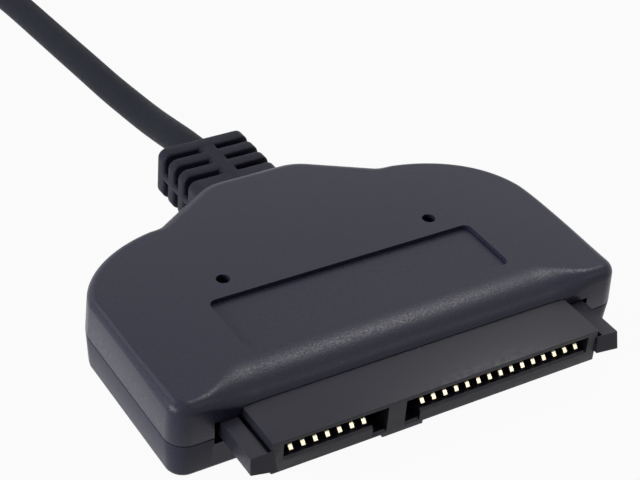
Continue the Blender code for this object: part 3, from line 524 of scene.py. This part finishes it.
def slot_rings(span, leg, leg_left):
    """One L-shaped slot with a chamfered mouth, its key leg at its left or right end."""
    x0, x1 = span
    rings = []
    for y, flare in ((FACE_Y - SLOT_LEAD_IN, 2 * SLOT_LEAD_IN), (FACE_Y + SLOT_LEAD_IN, 0.0),
                     (FACE_Y + SLOT_DEPTH, 0.0)):
        floor, deep = SLOT_FLOOR - flare, SLOT_LEG_FLOOR - flare
        if leg_left:
            section = [(x0, deep), (x0 + leg, deep), (x0 + leg, floor), (x1, floor),
                       (x1, SLOT_CEILING), (x0, SLOT_CEILING)]
        else:
            section = [(x0, floor), (x1 - leg, floor), (x1 - leg, deep), (x1, deep),
                       (x1, SLOT_CEILING), (x0, SLOT_CEILING)]
        rings.append([(x, y, z) for x, z in section])
    return rings


def make_connector():
    """One moulding: body, ears with their noses and keel, with the two slots cut into its face."""
    half, cut = CONNECTOR_HALF_WIDTH, CONNECTOR_CHAMFER
    outline = [(-half + cut, FACE_Y), (half - cut, FACE_Y), (half, FACE_Y + cut), (half, CONNECTOR_DEPTH),
               (-half, CONNECTOR_DEPTH), (-half, FACE_Y + cut)]
    body = add("connector", plate_mesh("connector", [outline], CONNECTOR_TOP - CONNECTOR_BASE),
               MOULDING_PAINT, location=(0, 0, (CONNECTOR_TOP + CONNECTOR_BASE) / 2),
               nodes=("connector_body",))
    keel = (SIGNAL_SLOT[1] - KEEL_MARGIN, POWER_SLOT[0] + POWER_LEG + KEEL_MARGIN, FACE_Y, -CLEAR,
            CONNECTOR_BASE - KEEL_DROP, CONNECTOR_BASE + KEEL_DROP)
    carve(body, [add("ears", loft_mesh("ears", [ear_rings(-1), ear_rings(1)])),
                 add("ear_noses", hull_mesh("ear_noses", [ear_nose(-1), ear_nose(1)])),
                 add("keel", box_mesh("keel", [keel]))], "UNION")
    round_edges(body, CONNECTOR_EDGE)
    slots = add("slots", loft_mesh("slots", [slot_rings(SIGNAL_SLOT, SIGNAL_LEG, False),
                                             slot_rings(POWER_SLOT, POWER_LEG, True)]))
    carve(body, [slots])
    shade_round(body)


# Contacts

def ribbon_outline(line, thickness):
    """Both sides of a bent strip, mitred at its corners."""
    sides = ([], [])
    for i, (y, z) in enumerate(line):
        ahead = Vector(line[min(i + 1, len(line) - 1)]) - Vector((y, z))
        behind = Vector((y, z)) - Vector(line[max(i - 1, 0)])
        ahead = ahead.normalized() if ahead.length else behind.normalized()
        behind = behind.normalized() if behind.length else ahead
        middle = (ahead + behind).normalized()
        reach = thickness / 2 / max(middle.dot(ahead), 0.5)
        sides[0].append((y - middle.y * reach, z + middle.x * reach))
        sides[1].append((y + middle.y * reach, z - middle.x * reach))
    return sides[0] + sides[1][::-1]


def make_contacts():
    """Slim bent strips with a rounded crest just behind the mouth of the slot, and a foot on the board."""
    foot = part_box("circuit_board")[1][2] + CONTACT_THICKNESS / 2 + SEAM_GAP
    tail = CONNECTOR_DEPTH + CONTACT_TAIL
    line = [(FACE_Y + y, CONTACT_LEVEL + z) for y, z in CONTACT_PROFILE]
    line += [(tail, CONTACT_LEVEL), (tail + CONTACT_DROP, foot), (tail + CONTACT_DROP + CONTACT_FOOT, foot)]
    outline = ribbon_outline(line, CONTACT_THICKNESS)
    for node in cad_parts:
        if node.startswith("contact_"):
            strip = add("strip_" + node, plate_mesh("strip_" + node, [outline], CONTACT_WIDTH), GOLD_PAINT,
                        location=(middle_x(node), 0, 0), rotation=(math.radians(90), 0, math.radians(90)),
                        nodes=(node,))
            shade_round(strip)


# Strain relief

def rib_slot_outline(side, up):
    """One corner's share of a groove round the block, between its top and side spines."""
    wide, tall = RELIEF_HALF_WIDTH, RELIEF_HALF_HEIGHT
    deep_x, deep_z = wide - RIB_SLOT_DEPTH, tall - RIB_SLOT_DEPTH
    radius = RELIEF_CORNER / 2
    points = [(RIB_TOP_SPINE, tall + CLEAR), (RIB_TOP_SPINE, deep_z)]
    for step in range(9):
        turn = math.radians(90 - 90 * step / 8)
        points.append((deep_x - radius + radius * math.cos(turn),
                       deep_z - radius + radius * math.sin(turn)))
    points += [(deep_x, RIB_SIDE_SPINE), (wide + CLEAR, RIB_SIDE_SPINE), (wide + CLEAR, tall + CLEAR)]
    return [(side * x, up * z) for x, z in points]


def make_strain_relief():
    """A block with three grooves round it, seated on the rear wall, and its neck through the wall."""
    start = NECK_END_Y - 2 * CLEAR
    outline = rounded_rectangle(-RELIEF_HALF_WIDTH, RELIEF_HALF_WIDTH, -RELIEF_HALF_HEIGHT,
                                RELIEF_HALF_HEIGHT, RELIEF_CORNER)
    length = RELIEF_END - start
    turn = (math.radians(90), 0, 0)
    block = add("ribbed_relief", plate_mesh("ribbed_relief", [outline], length), RELIEF_PAINT,
                rotation=turn, location=(-REAR_SHIFT, RELIEF_END - length / 2, RELIEF_CENTRE),
                nodes=("strain_relief",))
    cutters = []
    for i in range(3):
        y = RELIEF_END - RIB_SLOT_LAST - i * RIB_SLOT_PITCH
        outlines = [rib_slot_outline(side, up) for side in (-1, 1) for up in (-1, 1)]
        name = "rib_slots_%d" % (i + 1)
        cutters.append(add(name, plate_mesh(name, outlines, RIB_SLOT_WIDTH), rotation=turn,
                           location=(-REAR_SHIFT, y, RELIEF_CENTRE)))
    carve(block, cutters)
    round_edges(block, RELIEF_EDGE)
    seat = add("relief_seat", loft_mesh("relief_seat", [
        [ring(-FIT_GAP, -WALL), ring(-FIT_GAP, HEIGHT + WALL)]]))
    carve(block, [seat])
    neck = rounded_rectangle(-RELIEF_NECK_HALF_WIDTH, RELIEF_NECK_HALF_WIDTH, -RELIEF_NECK_HALF_HEIGHT,
                             RELIEF_NECK_HALF_HEIGHT, RELIEF_CORNER / 2, 6)
    neck_end = HOUSING_LENGTH + WALL
    neck_length = neck_end - (HOUSING_LENGTH - 2 * WALL + CLEAR)
    carve(block, [add("relief_neck", plate_mesh("relief_neck", [neck], neck_length), rotation=turn,
                      location=(-REAR_SHIFT, neck_end - neck_length / 2, RELIEF_CENTRE))], "UNION")
    shade_round(block)


# Cord

# Points of its route up to the crossing, the same as in the part's source
CORD_START = (
    (0.0, 0.0421, 0.0032), (-0.0003, 0.0455, 0.0030), (-0.0006, 0.0495, 0.0025), (-0.0009, 0.0540, 0.0020),
    (-0.00125, 0.0580, 0.00182), (-0.0016, 0.06125, 0.00178), (-0.0020, 0.0660, 0.00178),
    (-0.00241, 0.0709, 0.00178), (-0.00305, 0.0786, 0.00178), (-0.0035, 0.0840, 0.00178),
    (-0.0041, 0.0890, 0.00178), (-0.0053, 0.0945, 0.00178), (-0.0070, 0.1000, 0.00178),
    (-0.0083, 0.1045, 0.00178),
)
CROSSING = (-0.0084, 0.1090)

# Sideways and outward from the crossing, and the share of the way down from the hump to the plug's entry
CORD_END = ((0.0, 0.0, 0.0), (-0.0014, 0.0060, 0.0), (-0.0026, 0.0125, 0.4), (-0.0032, 0.0200, 1.0),
            (-0.0033, 0.0275, 1.0))


def smooth_route(points, step):
    """Read a smooth curve through the points at even distances."""
    knots = np.array(points)
    chord = np.concatenate([[0.0], np.cumsum(np.linalg.norm(np.diff(knots, axis=0), axis=1))])
    count = len(knots)
    gap = np.diff(chord)
    system = np.eye(count)
    right_side = np.zeros((count, 3))
    for i in range(1, count - 1):
        system[i, i - 1] = gap[i - 1]
        system[i, i] = 2 * (gap[i - 1] + gap[i])
        system[i, i + 1] = gap[i]
        right_side[i] = 6 * ((knots[i + 1] - knots[i]) / gap[i] - (knots[i] - knots[i - 1]) / gap[i - 1])
    bend = np.linalg.solve(system, right_side)
    fine = []
    for i in range(count - 1):
        for t in np.linspace(0.0, gap[i], 40, endpoint=False):
            u = gap[i] - t
            fine.append((bend[i] * u ** 3 + bend[i + 1] * t ** 3) / (6 * gap[i])
                        + (knots[i] / gap[i] - bend[i] * gap[i] / 6) * u
                        + (knots[i + 1] / gap[i] - bend[i + 1] * gap[i] / 6) * t)
    fine.append(knots[-1])
    fine = np.array(fine)
    run = np.concatenate([[0.0], np.cumsum(np.linalg.norm(np.diff(fine, axis=0), axis=1))])
    stations = np.linspace(0.0, run[-1], max(2, round(run[-1] / step)) + 1)
    return np.stack([np.interp(stations, run, fine[:, axis]) for axis in range(3)], axis=1).tolist()


def hump_height(before):
    """Height of the cord at a distance before it crosses over itself."""
    return fade(CORD_OVER, CORD_REST, (before - HUMP_FLAT) / HUMP_RUN)


def cord_route():
    """Route of the cord: over the floor, once round a loop, over itself in a low hump, to the plug."""
    points = list(CORD_START)
    px, py = CROSSING
    centre = px + LOOP_RADIUS / math.cos(LOOP_TILT)
    lead = LOOP_RADIUS * math.tan(LOOP_TILT)
    points.append((px, py, CORD_REST))
    total = 2 * math.pi - 2 * LOOP_TILT
    steps = 14
    for step in range(steps + 1):
        turn = math.pi - LOOP_TILT - total * step / steps
        before = lead + LOOP_RADIUS * total * (1 - step / steps)
        points.append((centre + LOOP_RADIUS * math.cos(turn), py + LOOP_RADIUS * math.sin(turn),
                       hump_height(before)))
    entry = (GRIP_LOW[2] + GRIP_HIGH[2]) / 2
    points += [(px + dx, py + dy, CORD_OVER + (entry - CORD_OVER) * share) for dx, dy, share in CORD_END]
    return points


def make_cord(plug_pieces):
    route = [(x, y + FRONT, max(z, CORD_REST)) for x, y, z in smooth_route(cord_route(), CORD_STEP)]
    line = bpy.data.curves.new("cord", "CURVE")
    line.dimensions = "3D"
    line.bevel_depth = CORD_RADIUS - CORD_SKIN
    line.bevel_resolution = 10
    line.use_fill_caps = True
    spline = line.splines.new("POLY")
    spline.points.add(len(route) - 1)
    for point, (x, y, z) in zip(spline.points, route):
        point.co = (x, y, z, 1.0)
    line.materials.append(CORD_PAINT)
    cord = bpy.data.objects.new("cord", line)
    bpy.context.scene.collection.objects.link(cord)
    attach(cord, "root")
    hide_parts("cable")


# Plug

def make_plug():
    """Grip and sleeve of the plug, with the names of all pieces that ride on the cord."""
    x = (GRIP_LOW[0] + GRIP_HIGH[0]) / 2
    y = GRIP_LOW[1] - FRONT
    middle = (GRIP_LOW[2] + GRIP_HIGH[2]) / 2
    half = GRIP_HIGH[0] - x
    length = GRIP_HIGH[1] - GRIP_LOW[1]
    thick = GRIP_HIGH[2] - GRIP_LOW[2]
    nose = GRIP_NOSE_HALF_WIDTH
    outline = [(-nose, 0.0), (nose, 0.0), (half, GRIP_NOSE), (half, length), (-half, length),
               (-half, GRIP_NOSE)]
    grip = add("grip", plate_mesh("grip", [outline], thick), RELIEF_PAINT, location=(x, y, middle),
               nodes=("plug_grip",))
    round_edges(grip, GRIP_EDGE, 6, math.radians(20))
    wide = SHELL_HIGH[0] - x
    tall = (SHELL_HIGH[2] - SHELL_LOW[2]) / 2
    root = SHELL_LOW[1] - FRONT
    gap = FIT_GAP
    seat = add("grip_seat", box_mesh("grip_seat", [
        (x - wide - gap, x + wide + gap, root - CLEAR, y + length + CLEAR, middle - tall - gap,
         middle + tall + gap)]))
    carve(grip, [seat])
    shade_round(grip)

    tip = SHELL_HIGH[1] - FRONT
    turn = (math.radians(90), 0, 0)
    centre = (x, (root + tip) / 2, middle)
    outer = rounded_rectangle(-wide, wide, -tall, tall, 2 * PLUG_SHEET, 8)
    inner = rounded_rectangle(-wide + PLUG_SHEET, wide - PLUG_SHEET, -tall + PLUG_SHEET, tall - PLUG_SHEET,
                              PLUG_SHEET, 8)
    sleeve = add("sleeve", plate_mesh("sleeve", [outer], tip - root), STEEL_PAINT, rotation=turn,
                 location=centre, nodes=("plug_shell",))
    bore = add("sleeve_bore", plate_mesh("sleeve_bore", [inner], 2 * (tip - root)), rotation=turn,
               location=centre)
    windows = add("sleeve_windows", box_mesh("sleeve_windows", [
        (x + side * WINDOW_X - WINDOW_HALF_WIDTH, x + side * WINDOW_X + WINDOW_HALF_WIDTH,
         tip - WINDOW_BACK, tip - WINDOW_FRONT, middle - 2 * tall, middle + 2 * tall)
        for side in (-1, 1)]))
    carve(sleeve, [bore, windows])
    shade_round(sleeve)
    nodes = ["plug_insulator"] + ["plug_contact_%d" % (i + 1) for i in range(9)]
    return [grip, sleeve] + nodes


# Materials

class Paint:
    """A procedural finish built on a Principled shader."""

    def __init__(self, name, roughness, metallic=0.0, specular=0.5):
        self.material = bpy.data.materials.new(name)
        self.material.use_nodes = True
        self.tree = self.material.node_tree
        self.shader = self.tree.nodes["Principled BSDF"]
        self.shader.inputs["Roughness"].default_value = roughness
        self.shader.inputs["Metallic"].default_value = metallic
        self.shader.inputs["Specular IOR Level"].default_value = specular
        self.place = self.tree.nodes.new("ShaderNodeTexCoord").outputs["Object"]

    def noise(self, size, detail=2.0, roughness=0.5):
        """Noise whose features are about the given size in metres."""
        node = self.tree.nodes.new("ShaderNodeTexNoise")
        node.inputs["Scale"].default_value = 1.0 / size
        node.inputs["Detail"].default_value = detail
        node.inputs["Roughness"].default_value = roughness
        self.tree.links.new(self.place, node.inputs["Vector"])
        return node.outputs["Fac"]

    def ramp(self, source, stops):
        node = self.tree.nodes.new("ShaderNodeValToRGB")
        ramp = node.color_ramp
        while len(ramp.elements) < len(stops):
            ramp.elements.new(0.5)
        for element, (position, colour) in zip(ramp.elements, stops):
            element.position = position
            element.color = (*colour, 1.0)
        self.tree.links.new(source, node.inputs["Fac"])
        return node.outputs["Color"]

    def grey(self, source, stops):
        return self.ramp(source, [(position, (value, value, value)) for position, value in stops])

    def link(self, source, socket):
        self.tree.links.new(source, self.shader.inputs[socket])
        return self

    def bump(self, layers):
        """Stack bumps given as (source, height in metres)."""
        normal = None
        for source, height in layers:
            node = self.tree.nodes.new("ShaderNodeBump")
            node.inputs["Strength"].default_value = 1.0
            node.inputs["Distance"].default_value = height
            self.tree.links.new(source, node.inputs["Height"])
            if normal is not None:
                self.tree.links.new(normal, node.inputs["Normal"])
            normal = node.outputs["Normal"]
        self.tree.links.new(normal, self.shader.inputs["Normal"])
        return self


def shades(colour, spread):
    """Two stops round a colour, darker and lighter by the spread."""
    dark = tuple(part * (1 - spread) for part in colour)
    light = tuple(part * (1 + spread) for part in colour)
    return [(0.30, dark), (0.70, light)]


def plastic(name, colour, roughness, grain, depth, spread=0.08, specular=0.5):
    """Moulded plastic whose grain shifts its colour, roughness and relief together."""
    paint = Paint(name, roughness, specular=specular)
    fine = paint.noise(grain, 2.0, 0.6)
    paint.link(paint.ramp(fine, shades(colour, spread)), "Base Color")
    paint.link(paint.grey(fine, [(0.3, roughness - 0.08), (0.7, roughness + 0.08)]), "Roughness")
    paint.bump([(fine, depth)])
    return paint.material


def metal(name, colour, roughness, grain=0.0003, depth=0.000002):
    paint = Paint(name, roughness, metallic=1.0)
    fine = paint.noise(grain, 3.0)
    paint.link(paint.ramp(fine, shades(colour, 0.06)), "Base Color")
    paint.link(paint.grey(fine, [(0.3, roughness - 0.06), (0.7, roughness + 0.10)]), "Roughness")
    paint.bump([(fine, depth)])
    return paint.material


HOUSING_PAINT = plastic("housing_plastic", (0.027, 0.027, 0.053), 0.35, 0.00020, 0.000016, 0.25, 0.26)
MOULDING_PAINT = plastic("moulding_plastic", (0.022, 0.022, 0.034), 0.40, 0.0006, 0.000004, 0.05, 0.30)
RELIEF_PAINT = plastic("relief_plastic_fine", (0.017, 0.017, 0.031), 0.48, 0.0004, 0.00001, 0.05, 0.12)
CORD_PAINT = plastic("cord_plastic", (0.012, 0.014, 0.022), 0.55, 0.0005, 0.000008, 0.05, 0.12)
GOLD_PAINT = metal("gold_plate", (0.96, 0.86, 0.62), 0.30)
STEEL_PAINT = metal("steel_plate", (0.66, 0.66, 0.68), 0.26)
NODE_PAINTS = {
    "circuit_board": plastic("board_lacquer", (0.02, 0.12, 0.05), 0.40, 0.0005, 0.000006),
    "bridge_chip": plastic("chip_mould", (0.02, 0.02, 0.02), 0.50, 0.0002, 0.000006),
    "regulator": plastic("regulator_mould", (0.02, 0.02, 0.02), 0.50, 0.0002, 0.000006),
    "crystal": metal("crystal_lid", (0.62, 0.62, 0.60), 0.32),
    "inductor": plastic("ferrite", (0.08, 0.08, 0.09), 0.60, 0.0002, 0.00001),
    "capacitor_input": plastic("ceramic_one", (0.42, 0.30, 0.18), 0.50, 0.0002, 0.000006),
    "capacitor_output": plastic("ceramic_two", (0.40, 0.29, 0.18), 0.50, 0.0002, 0.000006),
    "led_left": plastic("lens_left", (0.10, 0.11, 0.10), 0.30, 0.0002, 0.000004),
    "led_right": plastic("lens_right", (0.10, 0.11, 0.10), 0.30, 0.0002, 0.000004),
    "plug_insulator": plastic("insulator_blue", (0.02, 0.12, 0.55), 0.38, 0.0006, 0.000004),
}
WIRE_PAINT = plastic("wire_jacket", (0.45, 0.06, 0.05), 0.45, 0.0004, 0.000004)


def finish_nodes():
    """Give every CAD node that stays in view its procedural material."""
    for name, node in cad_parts.items():
        item = node if isinstance(node, bpy.types.Object) else bpy.data.objects[name]
        paint = NODE_PAINTS.get(name)
        if name.startswith("plug_contact_"):
            paint = GOLD_PAINT
        elif name.startswith("wire_"):
            paint = WIRE_PAINT
        if paint is not None:
            for slot in item.material_slots:
                slot.material = paint


# Floor, light and camera

def background_rays(tree):
    """Share of the plain white background: one for camera, glossy and transmission rays, else nothing."""
    rays = tree.nodes.new("ShaderNodeLightPath")
    source = rays.outputs["Is Camera Ray"]
    for name in ("Is Glossy Ray", "Is Transmission Ray"):
        either = tree.nodes.new("ShaderNodeMath")
        either.operation = "MAXIMUM"
        tree.links.new(source, either.inputs[0])
        tree.links.new(rays.outputs[name], either.inputs[1])
        source = either.outputs[0]
    return source


FLOOR_SIZE = 4.0
FLOOR_COLOUR = (0.50, 0.50, 0.51, 1.0)
FLOOR_WHITE = 0.95


def make_stage():
    """The floor: the plain background where it is seen, a pale surface for the light and the shadow."""
    bpy.ops.mesh.primitive_plane_add(size=FLOOR_SIZE, location=(0, 0, 0))
    floor = bpy.context.object
    floor.name = "floor"
    paint = bpy.data.materials.new("floor_white")
    paint.use_nodes = True
    tree = paint.node_tree
    tree.nodes.clear()
    out = tree.nodes.new("ShaderNodeOutputMaterial")
    lit = tree.nodes.new("ShaderNodeBsdfDiffuse")
    lit.inputs["Color"].default_value = FLOOR_COLOUR
    plain = tree.nodes.new("ShaderNodeEmission")
    plain.inputs["Color"].default_value = (1.0, 1.0, 1.0, 1.0)
    share = tree.nodes.new("ShaderNodeMath")
    share.operation = "MULTIPLY"
    share.inputs[1].default_value = FLOOR_WHITE
    tree.links.new(background_rays(tree), share.inputs[0])
    mix = tree.nodes.new("ShaderNodeMixShader")
    tree.links.new(share.outputs[0], mix.inputs["Fac"])
    tree.links.new(lit.outputs[0], mix.inputs[1])
    tree.links.new(plain.outputs[0], mix.inputs[2])
    tree.links.new(mix.outputs[0], out.inputs["Surface"])
    floor.data.materials.append(paint)


AMBIENT = 0.03


def make_world():
    world = bpy.data.worlds.new("studio")
    bpy.context.scene.world = world
    world.use_nodes = True
    tree = world.node_tree
    tree.nodes.clear()
    out = tree.nodes.new("ShaderNodeOutputWorld")
    dim = tree.nodes.new("ShaderNodeBackground")
    dim.inputs["Color"].default_value = (1.0, 1.0, 1.0, 1.0)
    dim.inputs["Strength"].default_value = AMBIENT
    white = tree.nodes.new("ShaderNodeBackground")
    white.inputs["Color"].default_value = (1.0, 1.0, 1.0, 1.0)
    white.inputs["Strength"].default_value = 1.0
    mix = tree.nodes.new("ShaderNodeMixShader")
    tree.links.new(background_rays(tree), mix.inputs["Fac"])
    tree.links.new(dim.outputs[0], mix.inputs[1])
    tree.links.new(white.outputs[0], mix.inputs[2])
    tree.links.new(mix.outputs[0], out.inputs["Surface"])


LAMP_DISTANCE = 0.5

# Direction from the object, width and height in metres, and power of each lamp
LAMPS = {
    "overhead": ((0.457, 0.20, 0.865), (0.07, 0.07), 0.50),
    "rear_left": ((-0.40, 0.60, 0.69), (0.20, 0.20), 0.25),
    "left_side": ((-0.95, 0.10, 0.30), (0.30, 0.20), 1.75),
    "front_glint": ((0.457, -0.578, 0.676), (0.06, 0.06), 0.08),
}


def make_lamps():
    for name, (direction, size, power) in LAMPS.items():
        lamp = bpy.data.lights.new(name, "AREA")
        lamp.shape = "RECTANGLE"
        lamp.size, lamp.size_y = size
        lamp.energy = power
        away = Vector(direction).normalized()
        item = bpy.data.objects.new(name, lamp)
        item.location = away * LAMP_DISTANCE
        item.rotation_euler = (-away).to_track_quat("-Z", "Y").to_euler()
        bpy.context.scene.collection.objects.link(item)


# Camera matched to the photograph: direction in degrees, roll, aim and distance in metres
CAMERA_AZIMUTH = -34.02
CAMERA_ELEVATION = 35.305
CAMERA_ROLL = 5.053
CAMERA_AIM = (0.002369, 0.020632, 0.005)
CAMERA_DISTANCE = 0.17584
CAMERA_FOCAL = 1717.06
IMAGE_WIDTH = 640
SENSOR = 36.0


def make_camera():
    """Camera at the photo's place, turned about its own axis by the roll."""
    data = bpy.data.cameras.new("camera")
    data.sensor_fit = "HORIZONTAL"
    data.sensor_width = SENSOR
    data.lens = CAMERA_FOCAL * SENSOR / IMAGE_WIDTH
    data.clip_start = 0.005
    data.clip_end = 10.0
    item = bpy.data.objects.new("camera", data)
    azimuth, elevation = math.radians(CAMERA_AZIMUTH), math.radians(CAMERA_ELEVATION)
    away = Vector((math.cos(elevation) * math.sin(azimuth), -math.cos(elevation) * math.cos(azimuth),
                   math.sin(elevation)))
    aim = Vector(CAMERA_AIM) + Vector((0, FRONT, 0))
    turn = (-away).to_track_quat("-Z", "Y").to_matrix()
    roll = math.radians(CAMERA_ROLL)
    right = turn.col[0] * math.cos(roll) + turn.col[1] * math.sin(roll)
    up = -turn.col[0] * math.sin(roll) + turn.col[1] * math.cos(roll)
    matrix = turn.to_4x4()
    for row in range(3):
        matrix[row][0], matrix[row][1], matrix[row][2] = right[row], up[row], away[row]
    matrix.translation = aim + away * CAMERA_DISTANCE
    item.matrix_world = matrix
    bpy.context.scene.collection.objects.link(item)
    bpy.context.scene.camera = item


make_camera()
make_cord(make_plug())
make_housing()
make_connector()
make_contacts()
make_strain_relief()
finish_nodes()
make_stage()
make_world()
make_lamps()
bpy.context.scene.view_settings.view_transform = "Standard"
